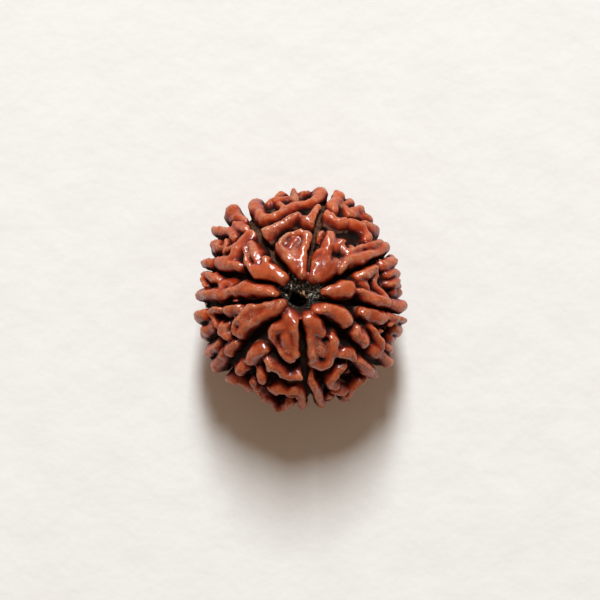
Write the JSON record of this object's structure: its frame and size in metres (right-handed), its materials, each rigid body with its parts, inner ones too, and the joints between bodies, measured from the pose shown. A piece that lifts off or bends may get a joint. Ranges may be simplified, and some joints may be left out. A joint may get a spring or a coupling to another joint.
{
  "type": "rudraksha seed",
  "caption": "Dried round fruit stone with knobbly winding ridges in faces parted by deep clefts, and a natural hole along its axis; stands on its lower end.",
  "frame": {"origin": "centre of the seed's footprint, on the surface that it rests on", "axes": "+Z along the natural hole, towards the stem end; +Y along the longest side"},
  "size_m": [0.0224, 0.0236, 0.0189],
  "materials": {
    "seed_coat": "waxed, satin on the ridges, dull and dark in the clefts"
  },
  "bodies": {
    "root": {"seed": "seed_coat"}
  },
  "joints": []
}
